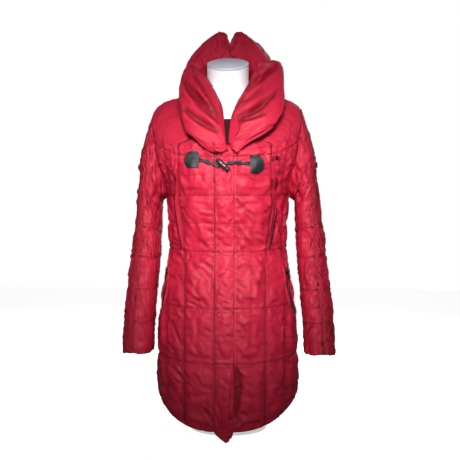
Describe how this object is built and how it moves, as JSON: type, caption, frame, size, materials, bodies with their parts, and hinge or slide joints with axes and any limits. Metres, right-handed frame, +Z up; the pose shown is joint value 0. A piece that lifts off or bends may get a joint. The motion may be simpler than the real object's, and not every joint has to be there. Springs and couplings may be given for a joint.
{
  "type": "down jacket on a dress form",
  "caption": "Thigh-length quilted down coat with shawl collar, soft hood, storm flap, toggle fastening and slanted zipped pockets, buttoned up on a limbless dress form on a round foot.",
  "frame": {"origin": "middle of the underside of the dress form's round plate", "axes": "+Z up; the coat's front faces -Y; +X is the wearer's left, the viewer's right in the picture"},
  "size_m": [0.5501, 0.3717, 1.0667],
  "materials": {
    "shell": "crimson down-proof nylon with a satin sheen",
    "zip_tape": "black woven zip tape",
    "cord": "black braided cord",
    "leather": "smooth black leather",
    "horn": "polished black horn look",
    "zip_metal": "dark plated metal",
    "form_cloth": "white stretched jersey",
    "form_cap": "pale grey satin cap",
    "stand_white": "white powder coat"
  },
  "bodies": {
    "coat_on_form": {"front_centre_right": "shell", "front_centre_left": "shell", "front_side_right": "shell", "front_side_left": "shell", "back_side_right": "shell", "back_side_left": "shell", "back_centre": "shell", "storm_flap": "shell", "sleeve_front_right": "shell", "sleeve_front_left": "shell", "sleeve_back_right": "shell", "sleeve_back_left": "shell", "sleeve_strip_right": "shell", "sleeve_strip_left": "shell", "collar_right": "shell", "collar_left": "shell", "hood_right": "shell", "hood_left": "shell", "strap_right": "shell", "strap_left": "shell", "sleeve_pocket": "shell", "pocket_zip_right": "zip_tape", "pocket_zip_left": "zip_tape", "zip_slider_right": "zip_metal", "zip_slider_left": "zip_metal", "toggle_patch_right": "leather", "toggle_patch_left": "leather", "toggle_cord_right": "cord", "toggle_cord_left": "cord", "toggle": "horn", "sleeve_tab": "leather", "form_torso": "form_cloth", "form_cap": "form_cap", "stand_post": "stand_white", "stand_plate": "stand_white"},
    "tab_right": {"pull_tab_right": "zip_metal"},
    "tab_left": {"pull_tab_left": "zip_metal"}
  },
  "joints": [
    {"name": "pull_tab_right_turn", "type": "hinge", "parent": "coat_on_form", "child": "tab_right", "pos_m": [-0.15554, -0.06034, 0.42594], "axis": [-0.4085, 0.9087, 0.0856], "range_deg": [0, 130]},
    {"name": "pull_tab_left_turn", "type": "hinge", "parent": "coat_on_form", "child": "tab_left", "pos_m": [0.15554, -0.06034, 0.42594], "axis": [-0.4085, -0.9087, -0.0856], "range_deg": [0, 130]}
  ]
}
